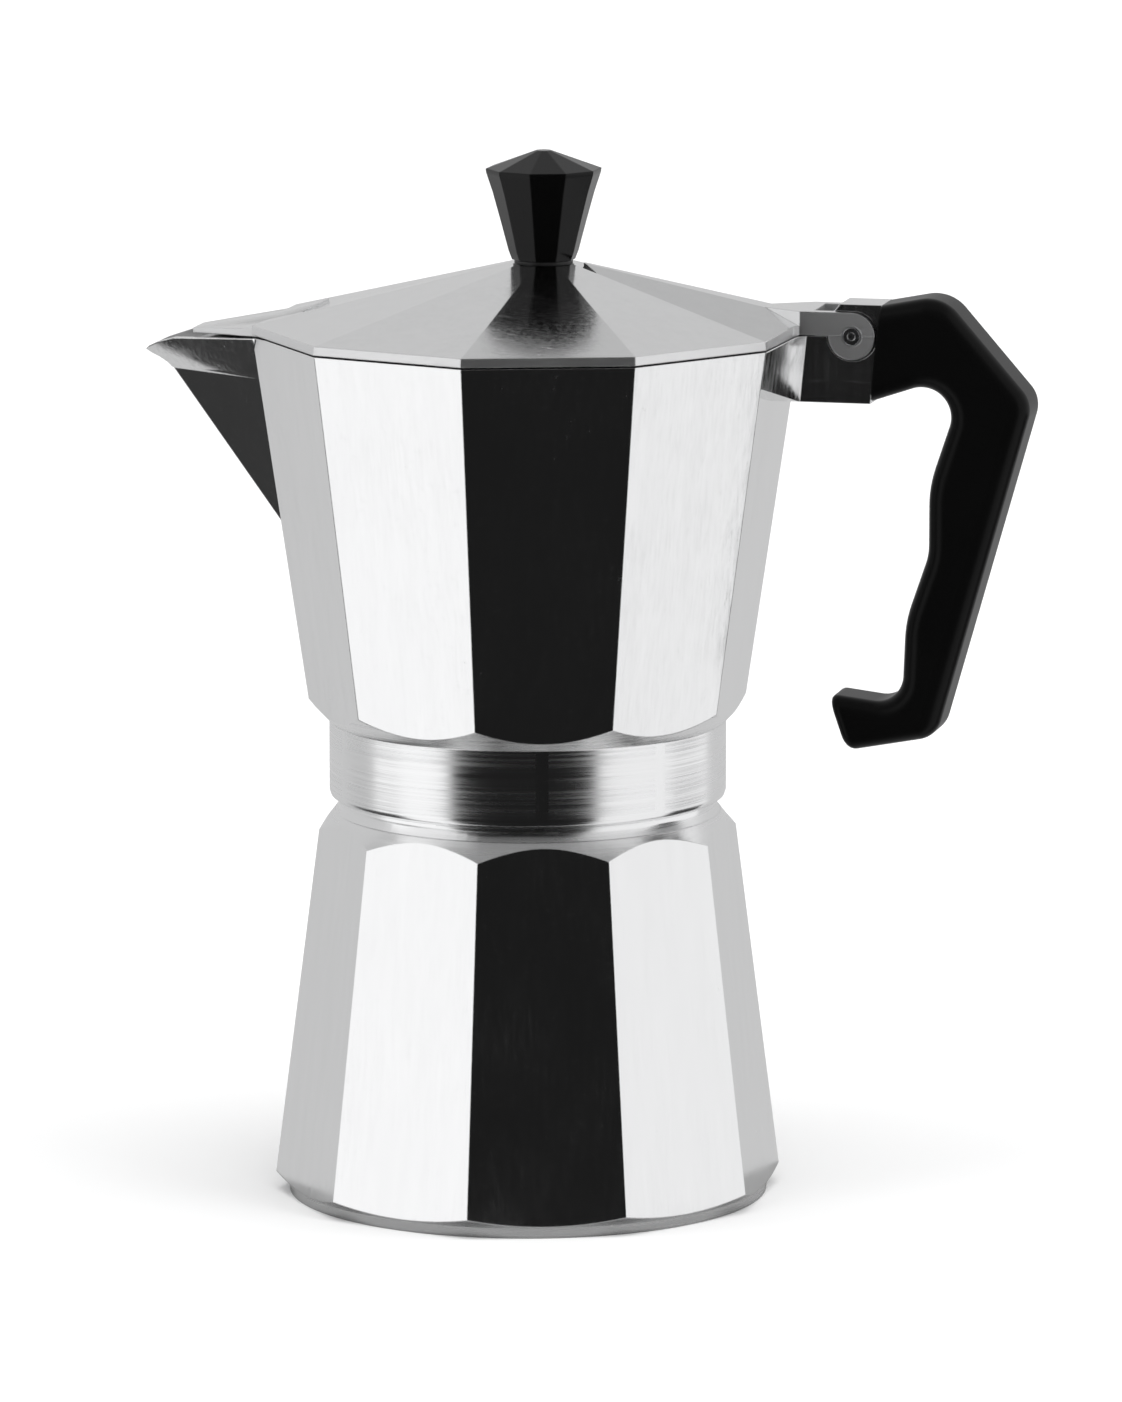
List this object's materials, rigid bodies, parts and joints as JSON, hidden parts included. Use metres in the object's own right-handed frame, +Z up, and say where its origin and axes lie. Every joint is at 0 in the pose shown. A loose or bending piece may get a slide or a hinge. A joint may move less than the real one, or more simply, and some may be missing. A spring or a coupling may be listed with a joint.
{
  "type": "moka pot",
  "caption": "Ten-sided stove-top coffee maker with screw-together boiler and collector, hinged lid, wedge spout, safety valve and side handle.",
  "frame": {"origin": "where the pot's axis meets the surface it stands on", "axes": "+Z up along the pot's axis, +X towards the handle, -X towards the spout"},
  "size_m": [0.1865, 0.1134, 0.2168],
  "materials": {
    "cast_aluminium": "bright brushed, facets polished along their height, collar and shoulder turned",
    "sheet_aluminium": "pressed sheet, satin",
    "brass": "turned, slightly dull",
    "rubber": "soft moulded",
    "steel": "turned, fine",
    "knob_plastic": "polished thermoset",
    "handle_plastic": "satin moulded"
  },
  "bodies": {
    "boiler_body": {"boiler": "cast_aluminium", "valve_body": "brass", "valve_washer": "brass", "valve_cap": "brass"},
    "relief_plunger": {"valve_plunger": "steel", "valve_seal": "rubber", "valve_spring": "steel"},
    "funnel_body": {"funnel": "sheet_aluminium", "funnel_strainer": "sheet_aluminium"},
    "seal_carrier": {"gasket": "rubber", "filter_plate": "sheet_aluminium"},
    "collector_body": {"collector": "cast_aluminium", "coffee_column": "cast_aluminium", "hinge_pin": "steel", "handle": "handle_plastic"},
    "lid_body": {"lid": "cast_aluminium", "knob": "knob_plastic", "knob_insert": "brass", "knob_washer": "rubber", "knob_screw": "steel"}
  },
  "joints": [
    {"name": "collector_rise", "type": "slide", "parent": "boiler_body", "child": "seal_carrier", "axis": [0, 0, 1], "range_m": [0, 0.0075]},
    {"name": "collector_turn", "type": "hinge", "parent": "seal_carrier", "child": "collector_body", "pos_m": [0, 0, 0], "axis": [0, 0, 1], "range_deg": [0, 900]},
    {"name": "lid_hinge", "type": "hinge", "parent": "collector_body", "child": "lid_body", "pos_m": [0.0694, 0, 0.1814], "axis": [0, 1, 0], "range_deg": [0, 90]},
    {"name": "funnel_lift", "type": "slide", "parent": "boiler_body", "child": "funnel_body", "axis": [0, 0, 1], "range_m": [0, 0.00375]},
    {"name": "relief_valve", "type": "slide", "parent": "boiler_body", "child": "relief_plunger", "axis": [-0.3068, 0.9441, 0.1207], "range_m": [0, 0.0015], "stiffness_N_per_m": 1000, "springref_m": -0.003, "deforming": ["valve_spring"]}
  ],
  "couplings": [
    {"joint": "collector_rise", "follows": "collector_turn", "m_per_rad": 0.00047746},
    {"joint": "funnel_lift", "follows": "collector_turn", "m_per_rad": 0.00023873}
  ]
}
